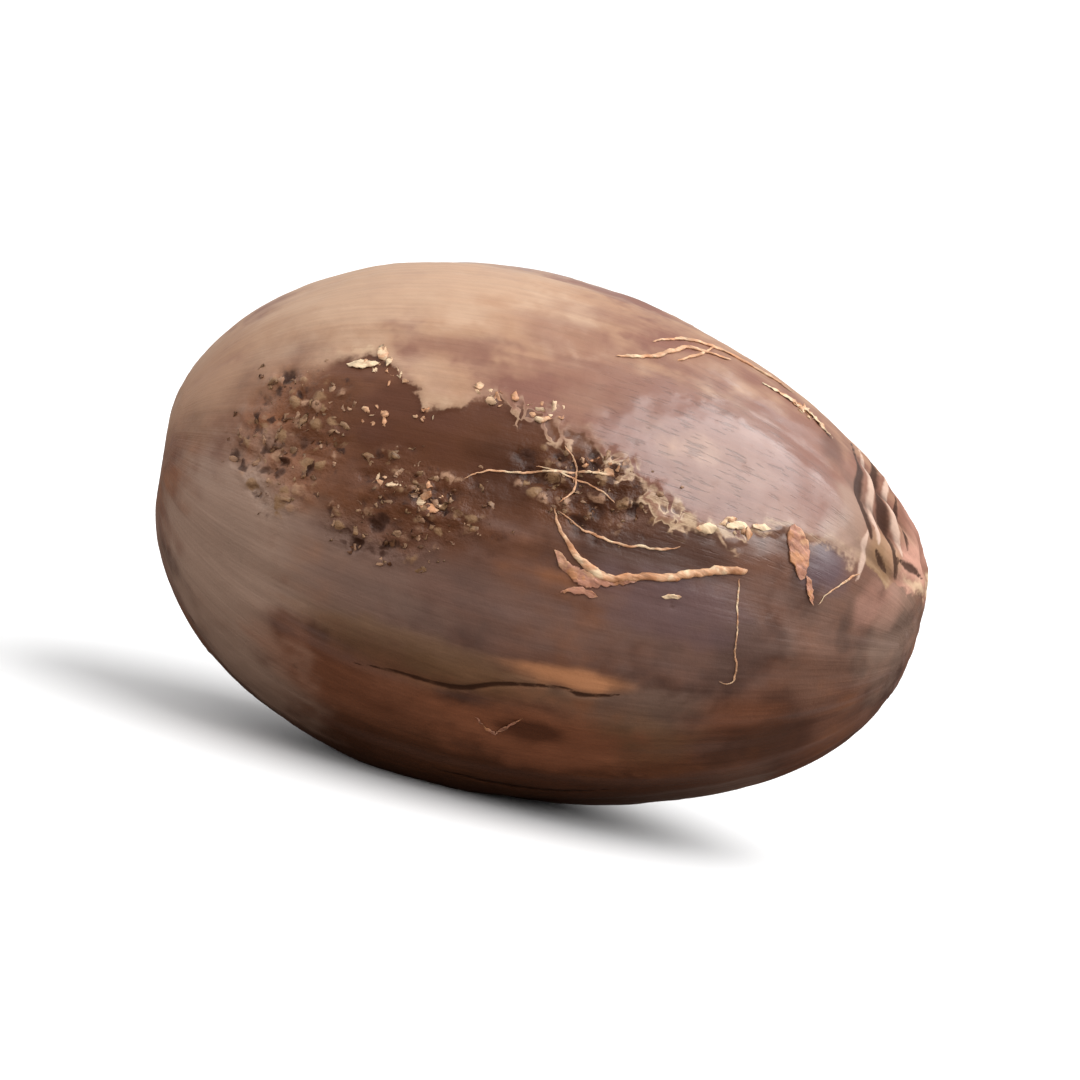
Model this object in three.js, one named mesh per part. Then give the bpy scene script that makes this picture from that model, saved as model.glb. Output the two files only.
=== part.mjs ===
// A whole nutmeg in its shell: one hard, egg-shaped seed, lying on its side.
//
// Millimetres, +Z up. +X runs along the seed towards the hilum, the scar where the seed grew on
// its stalk. The origin is on the surface it lies on, under the middle of its box.
//
// The seed is a sphere of small triangles drawn out into a slightly square, tapered ovoid. Its
// relief is added along the surface's normal: broad lumps, the furrows that the lacy aril pressed
// into the shell, the raphe seam on the far side, the hilum's knob with its folds, and the dimple
// at the blunt end. Where it lies, the shell is worn to a small flat.

import * as THREE from "three";
import { mergeVertices } from "three/addons/utils/BufferGeometryUtils.js";

// Overall form.
const LENGTH = 31.0;
const DEPTH = 19.8;
const HEIGHT = 20.5;
const SQUARENESS = 2.12; // the outline's exponent, where 2 is an ellipse
const TAPER = 0.05; // share by which the hilum end is slimmer than the middle
const REST_CAP = 0.28; // height of the cap worn off where the seed lies
const MESH_DETAIL = 19; // each icosahedron edge is divided into one more piece than this

// Broad unevenness: waves over the unit sphere, as [height, radians across x, y and z, phase].
const LUMPS = [
  [0.12, [2.85, 1.95, -1.2], 0.4],
  [0.1, [-1.8, 3.3, 2.55], 2.1],
  [0.07, [3.9, -2.85, 3.6], 4.0],
];

// Furrows from the aril: they run lengthwise, sway a little, and fade before both ends. One of
// them, the raphe, is the seam that joins the hilum to the dimple: it is deeper and runs straight.
const FURROWS = 8;
const FIRST_FURROW = THREE.MathUtils.degToRad(34); // from +Y towards +Z, about +X
const FURROW_DEPTH = 0.15;
const FURROW_WIDTH = 1.0;
const FURROW_SWAY = 0.15; // radians
const FURROW_WAVES = [2.3, 3.07, 3.83]; // radians of sway from the middle to an end, taken in turn
const FURROW_PHASE = 1.7; // radians by which each furrow's sway is ahead of the last one's
const FURROW_FADE = 6; // how late the furrows fade towards the ends
const RAPHE = 0; // which furrow it is, counted from the first one
const RAPHE_DEPTH = 0.34;
const RAPHE_WIDTH = 0.8;

// The hilum: a knob above the axis, with a pit in it and folds that run out from it.
const HILUM_SIDE = -0.9; // distance of the knob from the seed's axis along +Y
const HILUM_RISE = 3.2; // height of the knob above the seed's axis
const SHOULDER_HEIGHT = 0.35; // the broad swelling that carries the knob
const SHOULDER_RADIUS = 5.2;
const KNOB_HEIGHT = 0.42;
const KNOB_RADIUS = 1.6;
const PIT_DEPTH = 0.42;
const PIT_RADIUS = 0.75;
const FOLDS = 9;
const FOLD_HEIGHT = 0.16; // from the middle of a fold to its crest
const FOLD_LEAN = 0.7; // share by which folds are higher above the knob, and lower below it
const FOLD_REACH = 3.4; // distance from the knob where the folds are deepest
const FOLD_SPREAD = 1.8;
const FOLD_TWIST = 0.16; // radians for each millimetre out from the knob
const FOLD_CROWDS = 2; // places around the knob where folds crowd together
const FOLD_CROWDING = 0.9; // radians by which they do

// The chalaza: a shallow dimple at the blunt end.
const DIMPLE_DEPTH = 0.35;
const DIMPLE_RADIUS = 1.7;
const DIMPLE_DROP = 0.9; // distance of the dimple below the seed's axis

const SHELL_BROWN = 0x6b4738;

const half = new THREE.Vector3(LENGTH / 2, DEPTH / 2, HEIGHT / 2);

// A bell-shaped falloff: 1 at no distance, and about 0.37 at one width.
const bell = (distance, width) => Math.exp(-((distance / width) ** 2));

// The smallest turn between two angles, in radians.
const turnBetween = (a, b) => Math.atan2(Math.sin(a - b), Math.cos(a - b));

// The point of the smooth ovoid that a direction on the unit sphere is drawn out to.
function ovoidPoint(dir) {
  const across = Math.hypot(dir.y, dir.z);
  const grow = (Math.abs(dir.x) ** SQUARENESS + across ** SQUARENESS) ** (-1 / SQUARENESS);
  const slim = 1 - TAPER * grow * dir.x;
  return new THREE.Vector3(dir.x, dir.y * slim, dir.z * slim).multiplyScalar(grow).multiply(half);
}

// The ovoid's normal at a point, taken as that of an ellipsoid.
const ovoidNormal = (point) => point.clone().divide(half).divide(half).normalize();

// Where the knob stands on the smooth ovoid.
const hilumPoint = ovoidPoint(
  new THREE.Vector3(half.x, HILUM_SIDE, HILUM_RISE).divide(half).normalize(),
);

function lumps(dir) {
  return LUMPS.reduce(
    (sum, [height, waves, phase]) =>
      sum + height * Math.cos(dir.dot(new THREE.Vector3(...waves)) + phase),
    0,
  );
}

// How far a lengthwise line at an angle about +X is from a point, along the surface.
function lineDistance(point, angle) {
  const around = Math.atan2(point.z, point.y);
  return turnBetween(around, angle) * Math.hypot(point.y, point.z);
}

// The angle of a furrow where it passes a point that lies along the seed, from -1 to 1.
function furrowAngle(i, along) {
  const waves = FURROW_WAVES[i % FURROW_WAVES.length];
  const sway = i === RAPHE ? 0 : FURROW_SWAY * Math.sin(waves * along + i * FURROW_PHASE);
  return FIRST_FURROW + (i * 2 * Math.PI) / FURROWS + sway;
}

function furrows(point) {
  const along = point.x / half.x;
  const fade = Math.max(0, 1 - Math.abs(along) ** FURROW_FADE);
  let depth = 0;
  for (let i = 0; i < FURROWS; i++) {
    const away = lineDistance(point, furrowAngle(i, along));
    const [deepest, width] = i === RAPHE ? [RAPHE_DEPTH, RAPHE_WIDTH] : [FURROW_DEPTH, FURROW_WIDTH];
    depth += deepest * bell(away, width);
  }
  return -fade * depth;
}

// The hilum's shoulder and knob, the pit in the knob, and the folds around it.
function hilum(point) {
  if (point.x < 0) return 0;
  const side = point.y - HILUM_SIDE;
  const up = point.z - HILUM_RISE;
  const away = Math.hypot(side, up, hilumPoint.x - point.x);
  const around = Math.atan2(up, side) + FOLD_TWIST * away;
  const fold = Math.cos(around * FOLDS + FOLD_CROWDING * Math.sin(around * FOLD_CROWDS));
  const lean = 1 + (FOLD_LEAN * up) / Math.max(away, KNOB_RADIUS);
  return (
    SHOULDER_HEIGHT * bell(away, SHOULDER_RADIUS) +
    KNOB_HEIGHT * bell(away, KNOB_RADIUS) -
    PIT_DEPTH * bell(away, PIT_RADIUS) +
    FOLD_HEIGHT * lean * bell(away - FOLD_REACH, FOLD_SPREAD) * fold
  );
}

function dimple(point) {
  if (point.x > 0) return 0;
  return -DIMPLE_DEPTH * bell(Math.hypot(point.y, point.z + DIMPLE_DROP), DIMPLE_RADIUS);
}

// The shell: every vertex of a fine icosahedron sphere, moved to the ovoid and raised by the relief.
function shellGeometry() {
  const sphere = new THREE.IcosahedronGeometry(1, MESH_DETAIL);
  sphere.deleteAttribute("normal");
  sphere.deleteAttribute("uv");
  const shell = mergeVertices(sphere, 1e-5);
  const places = shell.getAttribute("position");
  const dir = new THREE.Vector3();
  for (let i = 0; i < places.count; i++) {
    dir.fromBufferAttribute(places, i).normalize();
    const point = ovoidPoint(dir);
    const relief = lumps(dir) + furrows(point) + hilum(point) + dimple(point);
    point.addScaledVector(ovoidNormal(point), relief);
    places.setXYZ(i, point.x, point.y, point.z);
  }
  return shell;
}

// Wears the lowest cap to a flat, then sets the seed down with its box's middle over the origin.
function setDown(shell) {
  shell.computeBoundingBox();
  const flat = shell.boundingBox.min.z + REST_CAP;
  const places = shell.getAttribute("position");
  for (let i = 0; i < places.count; i++) places.setZ(i, Math.max(places.getZ(i), flat));
  shell.computeBoundingBox();
  const middle = shell.boundingBox.getCenter(new THREE.Vector3());
  shell.translate(-middle.x, -middle.y, -flat);
  shell.computeVertexNormals();
  return shell;
}

const shellMaterial = new THREE.MeshStandardMaterial({
  color: SHELL_BROWN,
  roughness: 0.4,
  metalness: 0,
});

const nutmeg = new THREE.Mesh(setDown(shellGeometry()), shellMaterial);
nutmeg.name = "nutmeg";

const part = new THREE.Group();
part.add(nutmeg);

export default part;
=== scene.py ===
"""A whole nutmeg in its shell, lying on a white studio floor.

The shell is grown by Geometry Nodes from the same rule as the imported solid, at a finer grain, and
takes its place. On it cling bits of mace, the dried net that the seed was picked out of: strands,
flakes and crumbs.

Places on the seed are given as (along, around): millimetres from its middle towards the hilum,
and degrees about its long axis, from the top (0) over the viewer's side (90) to the bottom (180).
"""

import math

import bpy
from mathutils import Matrix, Vector


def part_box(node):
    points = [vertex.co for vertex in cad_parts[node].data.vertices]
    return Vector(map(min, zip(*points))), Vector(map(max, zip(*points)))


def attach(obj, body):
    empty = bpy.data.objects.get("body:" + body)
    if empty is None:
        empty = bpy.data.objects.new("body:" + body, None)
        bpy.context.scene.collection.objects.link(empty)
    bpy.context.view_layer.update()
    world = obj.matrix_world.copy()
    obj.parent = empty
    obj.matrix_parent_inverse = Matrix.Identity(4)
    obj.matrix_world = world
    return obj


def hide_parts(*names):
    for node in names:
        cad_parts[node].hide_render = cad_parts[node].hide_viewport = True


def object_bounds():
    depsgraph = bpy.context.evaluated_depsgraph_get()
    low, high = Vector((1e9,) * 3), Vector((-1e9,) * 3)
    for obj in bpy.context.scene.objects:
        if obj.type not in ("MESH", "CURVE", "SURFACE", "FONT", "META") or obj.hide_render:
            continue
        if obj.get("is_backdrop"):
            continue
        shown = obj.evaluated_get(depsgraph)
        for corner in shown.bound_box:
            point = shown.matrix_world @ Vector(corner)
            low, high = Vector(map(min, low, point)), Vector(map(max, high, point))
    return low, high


bl_info = {
    "name": "Whole Nutmeg",
    "version": (1, 0, 0),
    "blender": (4, 5, 0),
    "location": "View3D > Sidebar > Nutmeg",
    "description": "Dresses the packed nutmeg in its shell, with bits of dried mace on it",
    "category": "Object",
}

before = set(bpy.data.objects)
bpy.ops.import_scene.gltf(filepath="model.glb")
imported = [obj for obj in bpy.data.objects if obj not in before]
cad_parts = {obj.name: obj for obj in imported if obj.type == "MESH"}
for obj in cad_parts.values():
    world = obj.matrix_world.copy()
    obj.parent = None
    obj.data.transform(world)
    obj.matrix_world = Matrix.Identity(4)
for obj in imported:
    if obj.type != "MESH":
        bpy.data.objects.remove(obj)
CAD_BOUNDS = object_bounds()

NODE = "nutmeg"
BODY = "root"

MM = 0.001  # metres
TAU = 2 * math.pi

# The smooth ovoid that the relief is added to. The relief makes its box a little larger, and the
# flat that it lies on takes some height away again.
RELIEF_REACH = Vector((0.02, 0.20, -0.10)) * MM
CAD_LOW, CAD_HIGH = (Vector(corner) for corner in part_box(NODE))
OVOID_SIZE = CAD_HIGH - CAD_LOW - RELIEF_REACH

# Broad unevenness: waves over the unit sphere, as (height in mm, radians across x, y and z, phase).
LUMPS = (
    (0.12, (2.85, 1.95, -1.2), 0.4),
    (0.10, (-1.8, 3.3, 2.55), 2.1),
    (0.07, (3.9, -2.85, 3.6), 4.0),
)

# Lengthwise furrows, in mm and radians. The raphe is the seam from the hilum to the dimple.
FURROWS = 8
FIRST_FURROW = math.radians(34)  # from +Y towards +Z, about +X
FURROW_DEPTH = 0.15
FURROW_WIDTH = 1.0
FURROW_SWAY = 0.15
FURROW_WAVES = (2.3, 3.07, 3.83)
FURROW_PHASE = 1.7
FURROW_FADE = 6.0
RAPHE = 0
RAPHE_DEPTH = 0.34
RAPHE_WIDTH = 0.8

# The hilum, in mm from the seed's middle.
HILUM = Vector((14.87, -0.9, 3.2))
SHOULDER = (0.35, 5.2)  # height and radius
KNOB = (0.42, 1.6)
PIT = (0.42, 0.75)
FOLDS = 9
FOLD_LEAN = 0.7
FOLD_REACH = 3.4
FOLD_SPREAD = 1.8
FOLD_TWIST = 0.16
FOLD_CROWDS = 2
FOLD_CROWDING = 0.9

# The dimple at the blunt end.
DIMPLE_DEPTH = 0.35
DIMPLE_RADIUS = 1.7
DIMPLE_DROP = 0.9

# The tan skin lies over the top. Its two edges run through these places.
SKIN_FRONT_EDGE = (
    (-15.3, 80), (-13.9, 74), (-12.0, 53), (-8.9, 47.5), (-6.7, 51.0), (-5.0, 59.5), (-3.1, 53.0),
    (-0.5, 55.0), (2.2, 60.0), (4.4, 66.5), (5.8, 68.5), (7.4, 66.0), (10.1, 61.5), (12.7, 58.5),
    (14.8, 40),
)
SKIN_BACK_EDGE = (
    (-15.3, -30), (-12.0, -58), (-8.0, -66), (-4.0, -54), (0.0, -68), (5.0, -60), (9.0, -70),
    (12.5, -56), (14.8, -30),
)

# Patches, as (along, around, half their length, half their width), in mm and degrees.
WORN_PATCHES = (
    (-4.2, 66, 4.6, 2.0),
    (5.5, -78, 3.6, 1.8),
    (-8.0, 196, 3.0, 2.0),
)
CRUST_PATCHES = (
    (-10.3, 73, 2.3, 2.9),
    (1.6, 68.5, 3.1, 1.5),
    (-4.8, 80, 3.2, 1.5),
    (-6.4, 90, 2.6, 0.9),
    (1.0, -72, 3.8, 1.9),
    (-9.5, -60, 2.6, 1.8),
)
GLOSSY_PATCHES = (
    (6.1, 50, 5.0, 3.5),
    (-3.0, -40, 6.0, 5.0),
)

# Soft patches of another colour, on the bare shell and on the skin over it. Each is given as
# (along, around, half length, half width, colour, strength).
SHELL_BLOOMS = (
    (-8.0, 62, 3.6, 2.4, "red", 0.75),
    (-10.6, 74, 3.0, 3.4, "warm", 0.7),
    # Ash at the blunt end, down to its lower rim: pale dust, and painted light where that end is
    # lit from the left.
    (-11.8, 112, 3.8, 4.2, "ash", 0.85),
    (-11.0, 136, 3.6, 2.4, "ash", 0.7),
    (-7.5, 104, 4.5, 2.4, "ash", 0.5),
    (-4.5, 80, 4.6, 2.6, "umber", 0.85),
    # Grey on the lower front: partly the shell's greyish bands, partly a painted sheen of a
    # reflection.
    (-3.0, 101, 7.0, 2.2, "grey", 0.55),
    (1.2, 68, 5.0, 2.4, "umber", 1.0),
    (2.0, 68, 2.6, 1.2, "pit", 0.5),
    (-1.6, 70.0, 1.9, 1.4, "pit", 0.5),
    (3.6, 80, 3.8, 1.1, "deep", 0.9),
    # Grey here: partly a painted sheen of a reflection.
    (7.0, 92, 5.0, 3.0, "grey", 0.5),
    (5.6, 117, 4.2, 1.2, "ash", 0.35),
    (5.5, 127, 3.6, 1.4, "olive", 0.5),
    (5.6, 74, 3.0, 1.1, "deep", 0.7),
    # Painted light on the blunt end's lower rim.
    (-9.5, 150, 4.0, 2.2, "ash", 0.8),
    (-9.2, 64, 1.6, 1.4, "umber", 0.8),
    (14.0, 68, 0.9, 0.9, "blush", 0.45),
    (14.6, 84, 1.2, 2.6, "ash", 0.35),
    (11.5, 70, 2.6, 2.6, "grey", 0.2),
    (12.6, 92, 3.0, 2.6, "ash", 0.12),
    (6.0, 89, 4.5, 1.3, "violet", 0.6),
    (-3.5, 117, 5.5, 1.2, "olive", 0.55),
    (3.1, 110.4, 2.7, 0.45, "ochre", 1.0),
    (10.8, 112.5, 4.2, 0.6, "deep", 0.8),
    (10.0, 118, 3.6, 1.1, "rust", 0.5),
    (-5.5, 129, 5.6, 1.8, "rust", 0.45),
    (-5.5, 120, 3.0, 0.8, "deep", 0.35),
    (2.4, 130, 4.5, 1.8, "rust", 0.9),
    (1.8, 129, 1.2, 0.8, "red", 0.8),
    # Painted shade on the lower side of the hilum end.
    (11.0, 129, 3.6, 1.6, "pit", 0.6),
    (11.3, 66.5, 1.5, 0.9, "violet", 1.0),
    (13.3, 73, 0.5, 1.0, "blush", 0.4),
    (6.0, -95, 6.0, 2.2, "rust", 0.5),
    (-7.0, -110, 6.0, 3.0, "olive", 0.5),
    (3.0, -128, 7.0, 2.4, "grey", 0.5),
    (-2.0, 172, 7.0, 2.0, "deep", 0.6),
)
SKIN_BLOOMS = (
    (-8.5, 14, 7.5, 5.0, "dust", 0.8),
    (-14.2, 50, 1.8, 3.2, "tan", 0.9),
    (1.6, 44, 5.0, 3.2, "rose", 0.75),
    (-5.2, 40.5, 2.6, 0.7, "rose", 0.7),
    (4.5, 18, 5.0, 2.4, "rose", 0.5),
    (8.0, 46, 6.0, 6.0, "rose", 0.85),
    (9.6, 24, 4.0, 2.6, "rose", 0.8),
    (11.6, 38, 2.0, 3.0, "rose", 0.8),
    (14.2, 0, 2.6, 3.6, "rose", 0.9),
    (-0.2, 29, 3.4, 2.2, "rose", 0.5),
    (10.4, 23, 0.7, 1.4, "deep", 0.45),
    (14.4, 33, 0.9, 1.3, "blush", 0.95),
    (13.0, 52, 0.8, 1.2, "olive", 0.7),
    (14.2, -20, 1.6, 2.0, "blush", 0.6),
    (11.7, 48, 1.0, 2.6, "ash", 0.65),
    (13.2, 60, 0.8, 1.1, "olive", 0.7),
    (6.0, -30, 5.0, 4.0, "rose", 0.6),
    (-6.0, -35, 5.0, 3.0, "dust", 0.6),
)

# Lines cut into the shell and raised from it, as (along, around, half width in mm).
# The creases are also painted dark along their length: painted shade in them.
CREASES = (
    ((11.1, 4.0, 0.05), (11.5, 18.0, 0.12), (11.7, 29.0, 0.17), (12.2, 40.7, 0.16),
     (12.6, 47.5, 0.07)),
    ((11.9, 0.0, 0.05), (12.2, 10.5, 0.17), (12.5, 24.5, 0.26), (13.0, 34.2, 0.25),
     (13.5, 42.2, 0.17), (14.0, 52.6, 0.08)),
    ((13.1, 12.0, 0.04), (13.5, 24.0, 0.12), (14.1, 33.0, 0.05)),
    # A painted shadow under the hilum's knob.
    ((13.8, 44.5, 0.05), (14.2, 42.0, 0.16), (14.5, 38.5, 0.12), (14.8, 35.0, 0.04)),
    ((12.9, 50.0, 0.06), (13.3, 52.5, 0.16), (13.6, 54.5, 0.06)),
    ((14.4, -4.0, 0.05), (13.8, -22.0, 0.14), (12.9, -36.0, 0.16), (11.5, -48.0, 0.05)),
    ((14.7, -30.0, 0.04), (14.3, -52.0, 0.12), (13.4, -66.0, 0.05)),
    ((-5.6, 124.0, 0.03), (-4.3, 122.5, 0.06), (-2.8, 122.0, 0.09), (-1.2, 120.5, 0.12),
     (0.2, 116.5, 0.1), (2.4, 113.5, 0.06), (3.4, 114.2, 0.09), (4.8, 112.5, 0.04)),
    ((-9.5, -98.0, 0.05), (-6.0, -101.0, 0.14), (-2.5, -99.0, 0.1), (1.5, -104.0, 0.15),
     (4.0, -103.0, 0.05)),
    ((5.5, 150.0, 0.05), (2.5, 154.0, 0.14), (-1.5, 152.0, 0.05)),
)
RIDGES = (
    ((11.4, 4.0, 0.05), (11.9, 20.0, 0.14), (12.3, 32.5, 0.17), (12.6, 41.0, 0.17),
     (12.9, 47.0, 0.08)),
    ((12.5, 4.0, 0.05), (12.8, 18.0, 0.14), (13.2, 29.0, 0.18), (13.7, 36.5, 0.16),
     (13.9, 41.0, 0.06)),
    ((12.4, 46.0, 0.06), (12.4, 52.0, 0.13), (12.5, 58.0, 0.15), (12.5, 66.0, 0.06)),
    ((13.7, 2.0, 0.04), (13.3, -20.0, 0.09), (12.4, -34.0, 0.1), (11.4, -42.0, 0.04)),
)

# Places where crumbs of mace still cling, as (along, around, half length, half width).
CRUMB_PATCHES = (
    (-7.8, 48.6, 1.3, 0.45), (-6.9, 52, 0.5, 0.4), (-7.4, 63, 0.6, 0.4), (-5.3, 60.5, 0.6, 0.3),
    (-6.1, 77.5, 0.7, 0.35), (-4.3, 79.5, 0.7, 0.6), (-2.8, 52.5, 1.0, 0.4), (-0.8, 53, 0.9, 0.5),
    (1.6, 62, 1.0, 0.4), (7.3, 66, 1.2, 0.35), (8.9, 15, 1.4, 0.4), (4.0, -68, 2.4, 0.8),
    (-9.0, -60, 1.6, 1.0),
)

# Strands, flakes and pale scales of dried mace: lines of places, with the width in mm at each.
STRANDS = (
    ((0.45, 74.0, 0.08), (0.95, 79.0, 0.16), (1.8, 83.2, 0.26), (2.9, 85.6, 0.34),
     (4.1, 84.6, 0.3), (5.8, 81.5, 0.28), (7.2, 77.9, 0.36), (8.4, 75.2, 0.42)),
    ((0.7, 74.9, 0.07), (2.4, 77.5, 0.1), (4.6, 76.9, 0.1), (5.6, 74.6, 0.06)),
    ((-3.2, 72.5, 0.05), (-2.6, 70.4, 0.08), (-1.4, 68.5, 0.08), (0.5, 65.6, 0.1),
     (2.4, 63.1, 0.1)),
    ((8.15, 77.5, 0.08), (8.6, 92.0, 0.06), (9.0, 105.2, 0.07), (8.4, 105.6, 0.05)),
    ((11.4, 78.3, 0.05), (11.8, 72.0, 0.07), (12.7, 63.4, 0.1)),
    ((0.2, 60.0, 0.06), (0.9, 64.0, 0.08), (1.0, 69.0, 0.08), (0.6, 73.0, 0.05)),
    ((-0.6, 66.0, 0.05), (1.2, 66.5, 0.07), (2.6, 69.5, 0.06)),
    ((1.2, 30.0, 0.12), (2.6, 26.0, 0.2), (4.0, 17.0, 0.24), (5.6, 13.0, 0.12)),
    ((2.4, 21.0, 0.1), (4.0, 12.0, 0.18), (6.4, 7.0, 0.2), (8.4, 6.0, 0.1)),
    ((3.6, 24.0, 0.1), (4.4, 18.0, 0.14), (4.9, 9.0, 0.1)),
    ((3.0, -74.0, 0.1), (4.6, -80.0, 0.2), (7.0, -79.0, 0.22), (9.2, -73.0, 0.12)),
    ((-9.8, -66.0, 0.08), (-8.0, -60.0, 0.16), (-6.2, -63.0, 0.12)),
)
FLAKES = (
    ((9.7, 59.0, 0.3), (9.85, 61.5, 0.7), (10.1, 65.0, 0.9), (10.4, 69.0, 0.7), (10.5, 73.0, 0.3)),
    ((10.7, 71.0, 0.12), (10.9, 74.5, 0.3), (11.2, 79.0, 0.1)),
    ((0.9, 83.0, 0.2), (1.7, 86.6, 0.5), (2.5, 87.2, 0.7), (3.4, 86.2, 0.45), (4.3, 85.0, 0.2)),
    ((1.5, 91.5, 0.12), (2.3, 90.0, 0.28), (3.0, 90.6, 0.14)),
    ((-0.4, 127.8, 0.05), (0.1, 130.3, 0.12), (0.5, 131.9, 0.15)),
    ((0.5, 131.9, 0.14), (0.95, 128.5, 0.12), (1.4, 124.5, 0.05)),
    ((5.4, -66.0, 0.3), (6.2, -63.0, 0.8), (7.2, -64.0, 0.4)),
)
SCALES = (
    ((6.0, 69.8, 0.15), (6.4, 68.8, 0.4), (6.8, 68.2, 0.2)),
    ((7.1, 66.8, 0.2), (7.5, 65.6, 0.34), (7.9, 64.8, 0.15)),
    ((8.1, 64.4, 0.12), (8.5, 63.6, 0.24), (8.8, 63.2, 0.1)),
    ((5.4, 87.0, 0.14), (5.8, 86.4, 0.26), (6.15, 86.0, 0.14)),
    ((7.0, 16.0, 0.12), (8.4, 14.0, 0.26), (9.4, 14.5, 0.3), (10.3, 19.0, 0.16)),
    ((-8.9, 49.2, 0.15), (-8.3, 48.6, 0.42), (-7.7, 48.4, 0.2)),
    ((-2.5, -58.0, 0.15), (-1.8, -60.0, 0.4), (-1.0, -61.0, 0.2)),
)

# Heights of the shell's finer relief, in mm.
BROAD_STREAKS = 0.2
FINE_STREAKS = 0.035
BROAD_BUMPS = 0.13
FINE_BUMPS = 0.035
SKIN_THICKNESS = 0.05
SKIN_RIM = 0.05
WORN_DEPTH = 0.06

# Heights of the bumps in its finish, in mm.
FIBRE_BUMP = 0.016
GRAIN_BUMP = 0.01
TICK_BUMP = 0.02
GRIT_BUMP = 0.08
MACE_BUMP = 0.04

# Lengthwise streaks in its finish, as (length, width, seed): the bands, the fibres and the ticks,
# the short dark lines in glossy places.
BANDS = (15.0, 1.7, 12.0)
FIBRES = (3.2, 0.2, 13.0)
TICKS = (0.9, 0.15, 14.0)
MACE_FIBRES = (0.8, 0.07, 42.0)

# How rough the shell is where it is bare, under its skin, and in the other places.
BARE_ROUGHNESS = 0.34
SKIN_ROUGHNESS = 0.5
GLOSSY_ROUGHNESS = 0.3
CRUST_ROUGHNESS = 0.38
HILUM_ROUGHNESS = 0.85
FIBRE_ROUGHNESS = 0.06  # how much rougher it is on its fibres

# Lights, as (name, way, distance, size across and up, glow, shines): the way from the nutmeg to
# the light, how far it hangs, its size in metres, the brightness of its face, and whether the
# nutmeg mirrors it.
LIGHTS = (
    ("window", (0.6, -0.15, 0.71), 0.8, (1.34, 0.92), 3.55, True),
    ("fill", (-0.35, -1.0, 0.45), 1.0, (1.2, 1.0), 1.6, False),
    ("side", (-1.0, -0.25, -0.05), 1.0, (1.0, 0.9), 1.3, False),
)
BRIGHT_WAY = (-0.4, 0.5, 0.77)  # where the room is brightest
BRIGHT_GLOW = 0.86  # brightness of the room there, and on the other side
DIM_GLOW = 0.08
FLOOR_SEEN = (0.9, 0.9, 0.9)  # the floor's colour to the camera
FLOOR_BOUNCE = (0.15, 0.1, 0.075)  # its colour to all other rays
FLOOR_REACH = 2.0

CAMERA_ELEVATION = math.radians(8)
CAMERA_ROLL = math.radians(15.2)
CAMERA_DISTANCE = 0.45
VIEW_WIDTH = 0.043


def bare(hex_colour):
    """A colour in scene-linear values, from the hexadecimal way of writing it."""
    parts = [int(hex_colour[i : i + 2], 16) / 255 for i in (0, 2, 4)]
    return tuple(c / 12.92 if c <= 0.04045 else ((c + 0.055) / 1.055) ** 2.4 for c in parts)


# Wiring node trees -------------------------------------------------------------------------------


class Field:
    """One output of a node. Python's arithmetic on it adds Math nodes to the tree."""

    def __init__(self, wiring, socket):
        self.wiring = wiring
        self.socket = socket

    def __add__(self, other):
        return self.wiring.math("ADD", self, other)

    __radd__ = __add__

    def __sub__(self, other):
        return self.wiring.math("SUBTRACT", self, other)

    def __rsub__(self, other):
        return self.wiring.math("SUBTRACT", other, self)

    def __mul__(self, other):
        return self.wiring.math("MULTIPLY", self, other)

    __rmul__ = __mul__

    def __truediv__(self, other):
        return self.wiring.math("DIVIDE", self, other)

    def __rtruediv__(self, other):
        return self.wiring.math("DIVIDE", other, self)

    def __pow__(self, other):
        return self.wiring.math("POWER", self, other)

    def __neg__(self):
        return self * -1.0

    def __abs__(self):
        return self.wiring.math("ABSOLUTE", self)

    def output(self, name):
        """Another output of the same node."""
        return Field(self.wiring, self.socket.node.outputs[name])


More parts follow.
